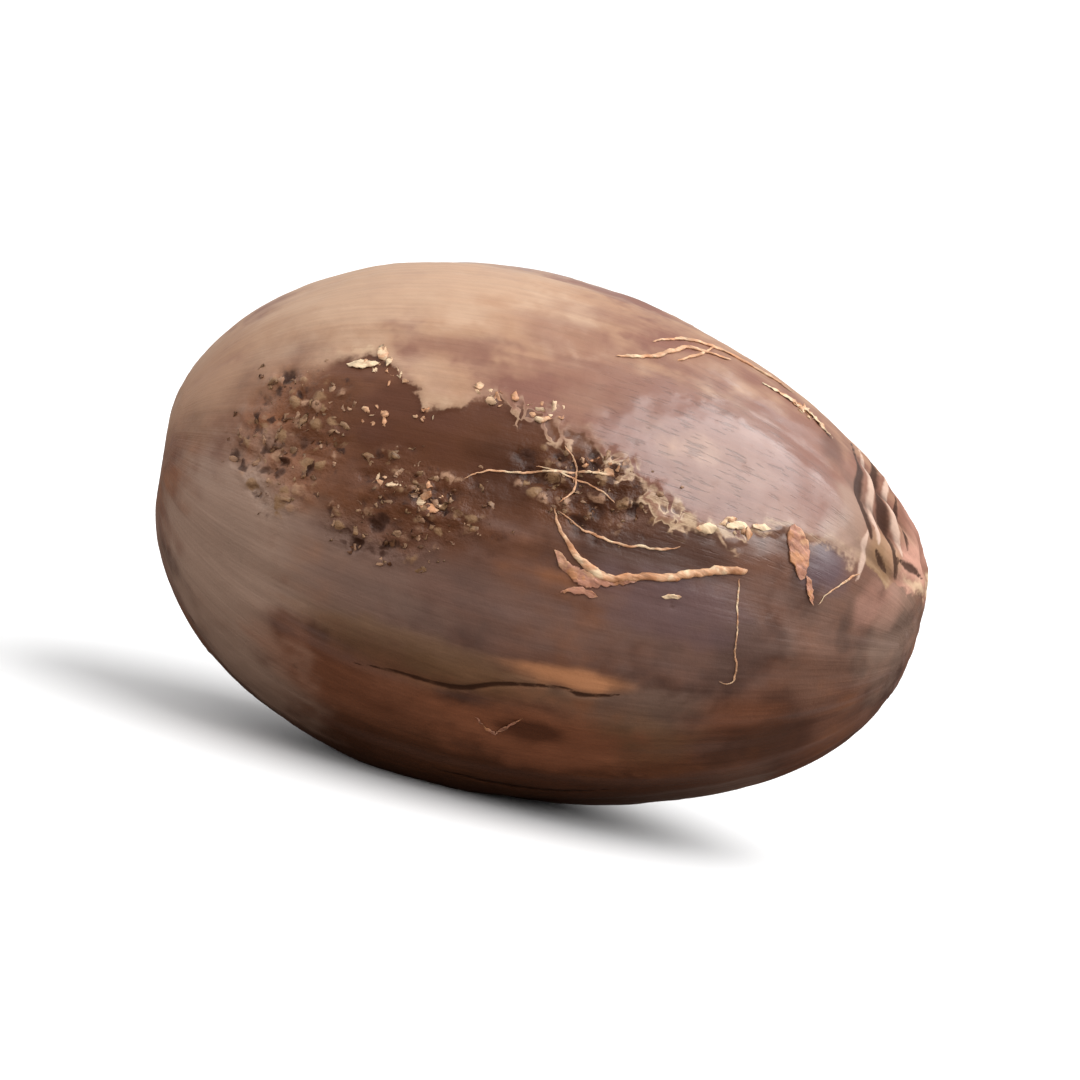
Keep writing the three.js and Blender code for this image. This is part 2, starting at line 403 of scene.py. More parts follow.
class Wiring:
    """A node tree that is filled by plain calls: numbers and Fields go in, and Fields come out."""

    def __init__(self, tree):
        self.tree = tree

    def feed(self, socket, value):
        if isinstance(value, Field):
            self.tree.links.new(value.socket, socket)
        elif socket.type == "RGBA":
            socket.default_value = (*value[:3], 1.0)
        else:
            socket.default_value = value

    def add(self, kind, inputs=None, output=0, **settings):
        node = self.tree.nodes.new(kind)
        for name, value in settings.items():
            setattr(node, name, value)
        for name, value in (inputs or {}).items():
            self.feed(node.inputs[name], value)
        return Field(self, node.outputs[output])

    def finish(self, field):
        """Ends a group's tree with the output it hands on."""
        end = self.tree.nodes.new("NodeGroupOutput")
        self.tree.links.new(field.socket, end.inputs[0])

    def math(self, operation, *values):
        return self.add("ShaderNodeMath", dict(enumerate(values)), operation=operation)

    def larger(self, first, second):
        return self.math("MAXIMUM", first, second)

    def vector(self, operation, *values, output=0):
        inputs = dict(enumerate(values))
        return self.add("ShaderNodeVectorMath", inputs, output, operation=operation)

    def length(self, vector):
        return self.vector("LENGTH", vector, output="Value")

    def scaled(self, vector, scale):
        return self.add("ShaderNodeVectorMath", {0: vector, "Scale": scale}, operation="SCALE")

    def combine(self, x, y, z):
        return self.add("ShaderNodeCombineXYZ", {"X": x, "Y": y, "Z": z})

    def split(self, vector):
        x = self.add("ShaderNodeSeparateXYZ", {"Vector": vector})
        return x, x.output("Y"), x.output("Z")

    def exp(self, value):
        return self.math("EXPONENT", value)

    def bell(self, distance, width):
        """A bell-shaped falloff: 1 at no distance, and about 0.37 at one width."""
        return self.exp(-((distance / width) ** 2))

    def smooth(self, value, low, high):
        """0 below low and 1 above high, with an S-shaped rise between them, or the other way."""
        inputs = {"Value": value, "From Min": low, "From Max": high}
        return self.add("ShaderNodeMapRange", inputs, interpolation_type="SMOOTHSTEP")

    def blend(self, share, first, second):
        """A number between two others."""
        return self.add("ShaderNodeMix", {0: share, 2: first, 3: second}, data_type="FLOAT")

    def mix(self, share, first, second, how="MIX"):
        """A colour between two others, or made from them some other way."""
        inputs = {0: share, 6: first, 7: second}
        return self.add("ShaderNodeMix", inputs, output=2, data_type="RGBA", blend_type=how)

    def moved(self, vector, seed):
        """Space moved far enough that a pattern in it is another one."""
        return self.vector("ADD", vector, self.scaled(Vector((17.3, -9.1, 5.7)), seed))

    def noise(self, vector, size, seed=0.0, detail=2.0, roughness=0.5, output=0):
        """Cloudy noise from 0 to 1, with blots of about a size."""
        inputs = {
            "Vector": self.moved(vector, seed),
            "Scale": 1 / size,
            "Detail": detail,
            "Roughness": roughness,
        }
        return self.add("ShaderNodeTexNoise", inputs, output)

    def stirred(self, vector, size, reach, seed=0.0):
        """Space pushed about at random, at most by about a reach."""
        push = self.noise(vector, size, seed, output="Color")
        push = self.scaled(self.vector("SUBTRACT", push, (0.5, 0.5, 0.5)), reach * 2)
        return self.vector("ADD", vector, push)

    def cells(self, vector, size, seed=0.0, output="Distance"):
        """The distance to the nearest of scattered points, in cells of about a size."""
        inputs = {"Vector": self.moved(vector, seed), "Scale": 1 / size}
        return self.add("ShaderNodeTexVoronoi", inputs, output)

    def walls(self, vector, size, seed=0.0):
        """The distance to the nearest wall between such cells, in cells."""
        inputs = {"Vector": self.moved(vector, seed), "Scale": 1 / size}
        return self.add("ShaderNodeTexVoronoi", inputs, "Distance", feature="DISTANCE_TO_EDGE")

    def shaded(self, colour, shade):
        """A colour times a number."""
        return self.mix(1.0, colour, self.combine(shade, shade, shade), "MULTIPLY")

    def moved_to(self, geometry, position):
        """Geometry whose points are set to other positions."""
        inputs = {"Geometry": geometry, "Position": position}
        return self.add("GeometryNodeSetPosition", inputs)

    def real(self, geometry):
        """Geometry whose instances are made plain meshes."""
        return self.add("GeometryNodeRealizeInstances", {"Geometry": geometry})

    def finish_mesh(self, geometry, material):
        """Ends a Geometry Nodes tree with its mesh in a material."""
        inputs = {"Geometry": geometry, "Material": material}
        self.finish(self.add("GeometryNodeSetMaterial", inputs))

    def curve(self, value, points):
        """A smooth curve through points whose both numbers lie between 0 and 1."""
        result = self.add("ShaderNodeFloatCurve", {"Value": value})
        mapping = result.socket.node.mapping
        line = mapping.curves[0]
        while len(line.points) < len(points):
            line.points.new(0.5, 0.5)
        for point, place in zip(line.points, points):
            point.location = place
            point.handle_type = "AUTO"
        mapping.update()
        return result

    def named(self, name, output="Fac"):
        """A named attribute of the mesh, in a material."""
        return self.add("ShaderNodeAttribute", None, output, attribute_name=name)


# The seed's shape --------------------------------------------------------------------------------


class SeedForm:
    """The numbers of the smooth ovoid: half its size in mm, its squareness and its taper."""

    def __init__(self, sizes):
        self.half = Vector((sizes.length, sizes.depth, sizes.height)) / 2 / MM
        self.squareness = sizes.squareness
        self.taper = sizes.taper

    def point(self, along, around):
        """A place on the smooth ovoid as a point, in mm from its middle."""
        share = along / self.half.x
        across = (1 - abs(share) ** self.squareness) ** (1 / self.squareness)
        across *= 1 - self.taper * share
        turn = math.radians(around)
        y = -self.half.y * across * math.sin(turn)
        z = self.half.z * across * math.cos(turn)
        return Vector((along, y, z))

    def trace(self, line, steps=6):
        """Points on a smooth path through a line of places, each with the width there."""
        knots = [Vector(place).to_3d() for place in (line[0], *line, line[-1])]
        path = []
        for before, start, end, after in zip(knots, knots[1:], knots[2:], knots[3:]):
            for i in range(steps):
                t = i / steps
                bend = 3 * (start - end) - before + after
                turn = 2 * before - 5 * start + 4 * end - after
                path.append(start + ((end - before) + (turn + bend * t) * t) * t / 2)
        path.append(knots[-1])
        return [(self.point(along, around), width) for along, around, width in path]


def ovoid(w, form, way):
    """The ovoid's point, in mm, and its normal, in a direction from its middle."""
    x, y, z = w.split(way)
    across = (y * y + z * z) ** 0.5
    grow = (abs(x) ** form.squareness + across**form.squareness) ** (-1 / form.squareness)
    slim = (1 - grow * x * form.taper) * grow
    point = w.combine(grow * x * form.half.x, slim * y * form.half.y, slim * z * form.half.z)
    square = Vector(s * s for s in form.half)
    normal = w.vector("NORMALIZE", w.vector("DIVIDE", point, square))
    return point, normal


def lumps(w, way):
    total = 0.0
    for height, waves, phase in LUMPS:
        turn = w.vector("DOT_PRODUCT", way, waves, output="Value") + phase
        total = w.math("COSINE", turn) * height + total
    return total


def furrows(w, form, point):
    """The furrows' depth, as a height below the ovoid."""
    x, y, z = w.split(point)
    along = x / form.half.x
    fade = w.larger(1 - abs(along) ** FURROW_FADE, 0.0)
    around = w.math("ARCTAN2", z, y)
    reach = (y * y + z * z) ** 0.5
    depth = 0.0
    for i in range(FURROWS):
        angle = FIRST_FURROW + i * TAU / FURROWS
        deepest, width = FURROW_DEPTH, FURROW_WIDTH
        if i == RAPHE:
            deepest, width = RAPHE_DEPTH, RAPHE_WIDTH
        else:
            waves = FURROW_WAVES[i % len(FURROW_WAVES)]
            angle = w.math("SINE", along * waves + i * FURROW_PHASE) * FURROW_SWAY + angle
        turn = around - angle
        turn = w.math("ARCTAN2", w.math("SINE", turn), w.math("COSINE", turn))
        depth = w.bell(turn * reach, width) * deepest + depth
    return -(fade * depth)


def hilum(w, point, fold_height):
    """The hilum's relief, and a mark from 0 to 1 for the bottoms of its folds."""
    x, y, z = w.split(point)
    side = y - HILUM.y
    up = z - HILUM.z
    away = w.length(w.vector("SUBTRACT", point, HILUM))
    around = w.math("ARCTAN2", up, side) + away * FOLD_TWIST
    crowding = w.math("SINE", around * FOLD_CROWDS) * FOLD_CROWDING
    wave = w.math("COSINE", around * FOLDS + crowding)
    groove = w.exp((wave + 1) * -4.0)
    lean = up / w.larger(away, KNOB[1]) * FOLD_LEAN + 1
    reach = w.bell(away - FOLD_REACH, FOLD_SPREAD)
    front = w.smooth(x, -1.0, 1.0)
    relief = (
        w.bell(away, SHOULDER[1]) * SHOULDER[0]
        + w.bell(away, KNOB[1]) * KNOB[0]
        - w.bell(away, PIT[1]) * PIT[0]
        + (wave * 0.8 - groove * 0.5 + 0.1) * lean * reach * fold_height
    )
    return relief * front, groove * lean * reach * front


def dimple(w, point):
    x, y, z = w.split(point)
    away = w.length(w.combine(0.0, y, z + DIMPLE_DROP))
    return w.bell(away, DIMPLE_RADIUS) * w.smooth(x, 1.0, -1.0) * -DIMPLE_DEPTH


def streaks(w, point, length, width, seed=0.0, detail=3.0):
    """Lengthwise streaks of a length and width, from 0 to 1."""
    x, y, z = w.split(point)
    reach = w.larger((y * y + z * z) ** 0.5, 3.0)
    straight = w.combine(x * (width / length), y / reach * 10.0, z / reach * 10.0)
    return w.noise(straight, width, seed, detail)


def edge_height(w, form, x, places):
    """The height of an edge that runs along the seed through a line of places."""
    line = []
    for along, around in places:
        height = form.point(along, around).z
        line.append((along / form.half.x / 2 + 0.5, height / form.half.z / 2 + 0.5))
    return (w.curve(x / (form.half.x * 2) + 0.5, line) - 0.5) * (form.half.z * 2)


def skin_cover(w, form, point):
    """Where the tan skin still covers the shell, and how far inside its ragged edge, in mm."""
    x, y, z = w.split(point)
    front = edge_height(w, form, x, SKIN_FRONT_EDGE)
    back = edge_height(w, form, x, SKIN_BACK_EDGE)
    edge = w.blend(w.smooth(y, 2.0, -2.0), back, front)
    ragged = (w.noise(point, 1.7, seed=1, detail=4.0, roughness=0.6) - 0.5) * 2.6
    lacy = w.smooth(w.walls(w.stirred(point, 0.8, 0.4, seed=2), 1.0, seed=2), 0.16, 0.02)
    lacy *= w.smooth(abs(x - 2.5), 7.0, 5.5)
    lacy *= w.smooth(w.noise(point, 2.4, seed=4), 0.4, 0.55)
    inside = z - edge + ragged + lacy * 0.7
    softness = w.smooth(x, -8.0, -12.0) * 2.0 + 0.1
    return w.smooth(inside / softness, -1.0, 1.0), inside


def patch_distance(w, form, point, along, around, half_length, half_width):
    """How far a point is from the middle of a patch, where 1 is the patch's edge."""
    offset = w.vector("SUBTRACT", point, form.point(along, around))
    return w.length(w.vector("DIVIDE", offset, (half_length, half_width, half_width)))


def patches(w, form, point, places, seed, softness=0.25):
    """Where any of the patches lies, with ragged edges, from 0 to 1."""
    ragged = (w.noise(point, 1.4, seed, detail=4.0, roughness=0.6) - 0.5) * 1.4
    cover = 0.0
    for place in places:
        away = patch_distance(w, form, point, *place) + ragged
        cover = w.larger(w.smooth(away, 1.0 + softness, 1.0 - softness), cover)
    return cover


def crust(w, point, cover):
    """The ragged extent of the crust under a cover, its flecks, and a random hue for each of them.

    Flecks run from -1, sunken, to 1, raised. The shell's finish paints the sunken ones dark, as
    painted shade in the pits, and the raised ones pale, the crust's own tan with painted light on
    their tops.
    """
    ragged = (w.noise(point, 1.1, seed=5, detail=5.0, roughness=0.65) - 0.5) * 1.9
    extent = w.smooth(cover + ragged, 0.1, 0.9)
    drawn = w.vector("MULTIPLY", w.stirred(point, 0.55, 0.3, seed=3), (0.8, 1.0, 1.0))
    fleck = w.cells(drawn, 0.5, seed=3, output="Color")
    tone, hue, _ = w.split(fleck)
    tone = w.smooth(tone + (w.noise(point, 1.2, seed=6) - 0.5) * 1.6, 0.1, 0.9) * 2 - 1
    tone *= w.smooth(fleck.output("Distance"), 0.75, 0.2)
    return extent, tone * extent, hue


def blooms_over(w, form, point, paint, blooms, sway):
    """The colour that soft patches lay over a surface, times their cover, and that cover."""
    colour, cover = (0.0, 0.0, 0.0), 0.0
    for *place, tone, strength in blooms:
        away = patch_distance(w, form, point, *place) + sway
        share = w.smooth(away, 1.35, 0.45) * strength
        colour = w.mix(share, colour, getattr(paint, tone))
        cover = w.blend(share, cover, 1.0)
    return colour, cover


def new_tree(name, kind, sockets, output, output_kind):
    """The wiring of a node tree with named inputs and one output, and its inputs as Fields."""
    tree = bpy.data.node_groups.new(name, kind)
    for title, socket_kind, value in sockets:
        socket = tree.interface.new_socket(title, in_out="INPUT", socket_type=socket_kind)
        if value is not None:
            socket.default_value = value
    tree.interface.new_socket(output, in_out="OUTPUT", socket_type=output_kind)
    w = Wiring(tree)
    group = w.add("NodeGroupInput")
    return w, {title: group.output(title) for title, _, _ in sockets}


def geometry_tree(name, sockets):
    return new_tree(name, "GeometryNodeTree", sockets, "Geometry", "NodeSocketGeometry")


def round_grid(w, x_corners, y_corners, z_corners):
    """The grid of a cube, and the direction in which each of its corners lies on a ball."""
    counts = {"Vertices X": x_corners, "Vertices Y": y_corners, "Vertices Z": z_corners}
    cube = w.add("GeometryNodeMeshCube", {"Size": (2.0, 2.0, 2.0), **counts})
    corner = w.scaled(w.add("GeometryNodeInputPosition"), math.pi / 4)
    return cube, w.vector("NORMALIZE", w.vector("TANGENT", corner))


def marked(w, geometry, name, value, domain="POINT", kind="FLOAT"):
    """Geometry with a named number or vector stored on it."""
    inputs = {"Geometry": geometry, "Name": name, "Value": value}
    return w.add("GeometryNodeStoreNamedAttribute", inputs, data_type=kind, domain=domain)


def nearest_line(w, guides, point):
    """The distance to the nearest line, as a share of its half width there, and that width."""
    curves = w.add("GeometryNodeObjectInfo", {"Object": guides}, "Geometry")
    curves = marked(w, curves, "width", w.add("GeometryNodeInputRadius"))
    edges = w.add("GeometryNodeCurveToMesh", {"Curve": curves})
    near = {"Geometry": edges, "Sample Position": point}
    away = w.add("GeometryNodeProximity", near, "Distance", target_element="EDGES")
    index = w.add("GeometryNodeSampleNearest", near, domain="POINT")
    width = w.add("GeometryNodeInputNamedAttribute", {"Name": "width"}, data_type="FLOAT")
    sample = {"Geometry": edges, "Value": width, "Index": index}
    width = w.add("GeometryNodeSampleIndex", sample, data_type="FLOAT", domain="POINT")
    return away / w.larger(width, 0.01), width


def shell_tree(form, paint):
    """Geometry Nodes that grow the shell: a cube's grid swollen to the ovoid, with its relief."""
    sockets = (
        ("Steps Along", "NodeSocketInt", 160),
        ("Steps Across", "NodeSocketInt", 112),
        ("Fold Height", "NodeSocketFloat", 0.09),
        ("Crust Height", "NodeSocketFloat", 0.2),
        ("Crease Depth", "NodeSocketFloat", 0.6),
        ("Ridge Height", "NodeSocketFloat", 0.5),
        ("Rest Cap", "NodeSocketFloat", 0.28),
        ("Creases", "NodeSocketObject", None),
        ("Ridges", "NodeSocketObject", None),
        ("Material", "NodeSocketMaterial", None),
    )
    w, given = geometry_tree("Seed coat", sockets)

    along = w.math("ADD", given["Steps Along"], 1)
    across = w.math("ADD", given["Steps Across"], 1)
    shell, way = round_grid(w, along, across, across)
    point, normal = ovoid(w, form, way)

    crease, crease_width = nearest_line(w, given["Creases"], point)
    ridge, ridge_width = nearest_line(w, given["Ridges"], point)
    skin, inside = skin_cover(w, form, point)
    cover = patches(w, form, point, CRUST_PATCHES, 5, 0.5)
    flecks = crust(w, point, cover)[1]
    worn = patches(w, form, point, WORN_PATCHES, 9)
    folds, fold_marks = hilum(w, point, given["Fold Height"])
    uneven = w.smooth(w.noise(point, 0.9, seed=8), 0.3, 0.6)
    x = w.split(point)[0]
    calm = w.smooth(x, -14.5, -9.0) * 0.75 + 0.25
    relief = (
        lumps(w, way)
        + furrows(w, form, point)
        + folds
        + dimple(w, point)
        + (streaks(w, point, 14.0, 2.2, seed=2) - 0.5) * calm * BROAD_STREAKS
        + (streaks(w, point, 4.0, 0.5, seed=3) - 0.5) * FINE_STREAKS
        + (w.noise(point, 2.0, seed=6, detail=1.0) - 0.5) * calm * BROAD_BUMPS
        + (w.noise(point, 0.75, seed=7, detail=1.0) - 0.5) * FINE_BUMPS
        + skin * SKIN_THICKNESS
        + w.bell(inside - 0.25, 0.22) * uneven * w.smooth(x, -10.5, -8.5) * SKIN_RIM
        - worn * (1 - skin) * WORN_DEPTH
        + flecks * given["Crust Height"]
        - w.bell(crease, 1.0) * crease_width * given["Crease Depth"]
        + w.bell(ridge, 1.0) * ridge_width * given["Ridge Height"]
    )
    raised = w.vector("ADD", point, w.scaled(normal, relief))

    marks = {
        "creases": crease,
        "ridges": ridge,
        "folds": fold_marks,
        "crumbs": patches(w, form, point, CRUMB_PATCHES, 7),
        "grit": cover,
        "worn": worn,
        "gloss": patches(w, form, point, GLOSSY_PATCHES, 10, 0.5),
    }
    for name, mark in marks.items():
        shell = marked(w, shell, name, mark)
    sway = (streaks(w, point, *BANDS) - 0.5) * 1.6
    sway = (w.noise(point, 1.2, seed=16, detail=3.0) - 0.5) * 1.2 + sway
    for name, blooms in (("bare_bloom", SHELL_BLOOMS), ("skin_bloom", SKIN_BLOOMS)):
        colour, bloom_cover = blooms_over(w, form, point, paint, blooms, sway)
        shell = marked(w, shell, name, colour, kind="FLOAT_VECTOR")
        shell = marked(w, shell, name + "_cover", bloom_cover)
    shell = w.moved_to(shell, raised)

    low = w.add("GeometryNodeBoundBox", {"Geometry": shell}, "Min")
    flat = w.split(low)[2] + given["Rest Cap"]
    x, y, z = w.split(w.add("GeometryNodeInputPosition"))
    rested = w.scaled(w.combine(x, y, w.larger(z, flat)), MM)
    shell = w.moved_to(shell, rested)
    w.finish_mesh(w.real(shell), given["Material"])
    return w.tree


def strand_tree():
    """Geometry Nodes that lay flattened, gnarled strands on the shell along guide lines."""
    sockets = (
        ("Guides", "NodeSocketObject", None),
        ("Shell", "NodeSocketObject", None),
        ("Step", "NodeSocketFloat", 0.1),
        ("Thickness", "NodeSocketFloat", 0.5),
        ("Wander", "NodeSocketFloat", 0.1),
        ("Gnarl", "NodeSocketFloat", 0.06),
        ("Lift", "NodeSocketFloat", 0.04),
        ("Material", "NodeSocketMaterial", None),
    )
    w, given = geometry_tree("Mace strands", sockets)
    guides = w.add("GeometryNodeObjectInfo", {"Object": given["Guides"]}, "Geometry")
    shell = w.add("GeometryNodeObjectInfo", {"Object": given["Shell"]}, "Geometry")
    place = w.add("GeometryNodeInputPosition")

    step = given["Step"] * MM
    line = w.add("GeometryNodeResampleCurve", {"Curve": guides, "Length": step}, mode="LENGTH")
    strayed = w.stirred(w.scaled(place, 1 / MM), 1.0, given["Wander"] * 2, seed=22)
    strayed = w.scaled(strayed, MM)
    x, y, z = w.split(strayed)
    axis = w.combine(x, 0.0, CAD_HIGH.z / 2)
    inwards = w.vector("NORMALIZE", w.vector("SUBTRACT", axis, strayed))
    start = w.vector("SUBTRACT", strayed, w.scaled(inwards, 2 * MM))
    cast = {"Target Geometry": shell, "Source Position": start}
    cast.update({"Ray Direction": inwards, "Ray Length": 5 * MM})
    hit = w.add("GeometryNodeRaycast", cast, "Hit Position")
    hit = w.vector("SUBTRACT", hit, w.scaled(inwards, given["Lift"] * MM))
    line = w.moved_to(line, hit)
    normal = w.add("GeometryNodeInputNormal")
    facing = {"Mesh": shell, "Value": normal}
    facing = w.add("GeometryNodeSampleNearestSurface", facing, data_type="FLOAT_VECTOR")
    line = w.add("GeometryNodeSetCurveNormal", {"Curve": line, "Normal": facing}, mode="FREE")
    share = w.add("GeometryNodeSplineParameter", None, "Factor")
    ends = (1 - abs(share * 2 - 1) ** 6) ** 0.5
    uneven = w.noise(w.scaled(place, 1 / MM), 0.5, seed=21) + 0.5
    radius = w.add("GeometryNodeInputRadius")
    width = radius * uneven * (ends * 0.85 + 0.15)
    line = w.add("GeometryNodeSetCurveRadius", {"Curve": line, "Radius": width})
    ring = w.add("GeometryNodeCurvePrimitiveCircle", {"Resolution": 12, "Radius": 0.5 * MM})
    flattened = w.combine(given["Thickness"], 1.0, 1.0)
    ring = w.add("GeometryNodeTransform", {"Geometry": ring, "Scale": flattened})
    swept = {"Curve": line, "Profile Curve": ring, "Fill Caps": True, "Scale": radius}
    strands = w.add("GeometryNodeCurveToMesh", swept)
    gnarled = w.stirred(w.scaled(place, 1 / MM), 0.22, given["Gnarl"], seed=23)
    strands = w.moved_to(strands, w.scaled(gnarled, MM))
    w.finish_mesh(w.real(strands), given["Material"])
    return w.tree


def crumb_tree():
    """Geometry Nodes that scatter flattened crumbs over the shell where it is marked for them."""
    sockets = (
        ("Shell", "NodeSocketObject", None),
        ("Mark", "NodeSocketString", "crumbs"),
        ("Thickly", "NodeSocketFloat", 1.0),
        ("Gap", "NodeSocketFloat", 0.3),
        ("Smallest", "NodeSocketFloat", 0.14),
        ("Largest", "NodeSocketFloat", 0.42),
        ("Lumpiness", "NodeSocketFloat", 0.22),
        ("Seed", "NodeSocketInt", 4),
        ("Material", "NodeSocketMaterial", None),
    )
    w, given = geometry_tree("Mace crumbs", sockets)
    shell = w.add("GeometryNodeObjectInfo", {"Object": given["Shell"]}, "Geometry")
    mark = w.add("GeometryNodeInputNamedAttribute", {"Name": given["Mark"]}, data_type="FLOAT")
    spread = {
        "Mesh": shell,
        "Distance Min": given["Gap"] * MM,
        "Density Max": 3e7,
        "Density Factor": mark * given["Thickly"],
        "Seed": given["Seed"],
    }
    spread = w.add(
        "GeometryNodeDistributePointsOnFaces", spread, "Points", distribute_method="POISSON"
    )

    def draw(low, high, more):
        """A random number for each crumb, which the seed and one number more settle."""
        inputs = {2: low, 3: high, "Seed": w.math("ADD", given["Seed"], more)}
        return w.add("FunctionNodeRandomValue", inputs, 1)

    turn = w.combine(draw(-0.3, 0.3, 5), draw(-0.3, 0.3, 6), draw(0.0, TAU, 0))
    facing = {"Rotation": spread.output("Rotation"), "Rotate By": turn}
    facing = w.add("FunctionNodeRotateRotation", facing, rotation_space="LOCAL")
    size = w.blend(draw(0.0, 1.0, 1) ** 2.5, given["Smallest"], given["Largest"])
    scale = w.combine(size * draw(0.9, 2.4, 3), size, size * draw(0.2, 0.4, 2))
    ball, way = round_grid(w, 3, 3, 3)
    ball = w.moved_to(ball, w.scaled(way, 0.5 * MM))
    crumbs = {"Points": spread, "Instance": ball, "Rotation": facing, "Scale": scale}
    crumbs = w.add("GeometryNodeInstanceOnPoints", crumbs)
    crumbs = marked(w, crumbs, "tint", draw(0.0, 1.0, 4), "INSTANCE")
    place = w.scaled(w.add("GeometryNodeInputPosition"), 1 / MM)
    lumpy = w.stirred(place, 0.18, given["Lumpiness"], seed=24)
    crumbs = w.moved_to(w.real(crumbs), w.scaled(lumpy, MM))
    w.finish_mesh(crumbs, given["Material"])
    return w.tree


def add_object(name, data):
    added = bpy.data.objects.new(name, data)
    bpy.context.scene.collection.objects.link(added)
    return added


def grow(name, tree, values):
    """Runs a Geometry Nodes tree once and returns what it makes as a plain mesh object."""
    maker = add_object(name + "_maker", bpy.data.meshes.new(name + "_maker"))
    modifier = maker.modifiers.new("Maker", "NODES")
    modifier.node_group = tree
    for item in tree.interface.items_tree:
        if item.name in values:
            modifier[item.identifier] = values[item.name]
    depsgraph = bpy.context.evaluated_depsgraph_get()
    made = maker.evaluated_get(depsgraph)
    keep = {"preserve_all_data_layers": True, "depsgraph": depsgraph}
    mesh = bpy.data.meshes.new_from_object(made, **keep)
    bpy.data.objects.remove(maker)
    mesh.name = name
    return add_object(name, mesh)


def guide_curves(name, lines):
    """A curve object with one straight-sided line through each list of points with widths."""
    curve = bpy.data.curves.new(name, "CURVE")
    curve.dimensions = "3D"
    for line in lines:
        spline = curve.splines.new("POLY")
        spline.points.add(len(line) - 1)
        for point, (place, width) in zip(spline.points, line):
            point.co = (*place, 1.0)
            point.radius = width
    return add_object(name, curve)


# Finishes ----------------------------------------------------------------------------------------


def new_material(name):
    material = bpy.data.materials.new(name)
    material.use_nodes = True
    material.node_tree.nodes.clear()
    return material, Wiring(material.node_tree)


def finish_material(w, settings, inputs, height=None):
    """Adds the surface's shader: plain settings, wired inputs, and a bump's height in mm."""
    shader = w.tree.nodes.new("ShaderNodeBsdfPrincipled")
    for name, value in settings.items():
        shader.inputs[name].default_value = value
    for name, value in inputs.items():
        w.feed(shader.inputs[name], value)
    if height is not None:
        bump = w.add("ShaderNodeBump", {"Strength": 1.0, "Distance": MM, "Height": height})
        w.feed(shader.inputs["Normal"], bump)
    end = w.tree.nodes.new("ShaderNodeOutputMaterial")
    w.tree.links.new(shader.outputs[0], end.inputs["Surface"])


def effect(w, name, sockets, output, build, values):
    """Places a shader node group that more than one material uses. It is built only once."""
    tree = bpy.data.node_groups.get(name)
    if tree is None:
        inner, given = new_tree(name, "ShaderNodeTree", sockets, *output)
        inner.finish(build(inner, given))
        tree = inner.tree
    inputs = {socket[0]: value for socket, value in zip(sockets, values)}
    return w.add("ShaderNodeGroup", inputs, node_tree=tree)


def streaked(w, point, length, width, seed):
    """Lengthwise streaks over the seed: bands, fibres or short ticks."""
    sockets = (
        ("Point", "NodeSocketVector", None),
        ("Length", "NodeSocketFloat", 5.0),
        ("Width", "NodeSocketFloat", 0.5),
        ("Seed", "NodeSocketFloat", 0.0),
    )

    def build(w, given):
        return streaks(w, given["Point"], given["Length"], given["Width"], given["Seed"])

    output = ("Streaks", "NodeSocketFloat")
    values = (point, length, width, seed)
    return effect(w, "Lengthwise streaks", sockets, output, build, values)


def clouded(w, point, size, seed, dark, middle, light):
    """A clouded colour: three tones that drift into each other in blots of about a size."""
    sockets = (
        ("Point", "NodeSocketVector", None),
        ("Size", "NodeSocketFloat", 4.0),
        ("Seed", "NodeSocketFloat", 0.0),
        ("Dark", "NodeSocketColor", None),
        ("Middle", "NodeSocketColor", None),
        ("Light", "NodeSocketColor", None),
    )

    def build(w, given):
        blots = w.noise(given["Point"], given["Size"], given["Seed"], 4.0, 0.6)
        darker = w.mix(w.smooth(blots, 0.5, 0.36), given["Middle"], given["Dark"])
        return w.mix(w.smooth(blots, 0.5, 0.66), darker, given["Light"])

    output = ("Colour", "NodeSocketColor")
    values = (point, size, seed, dark, middle, light)
    return effect(w, "Clouded colour", sockets, output, build, values)


def bloomed(w, colour, name):
    """A colour with the mesh's soft patches of that name over it."""
    left = w.scaled(colour, 1 - w.named(name + "_cover"))
    return w.vector("ADD", left, w.named(name, "Vector"))


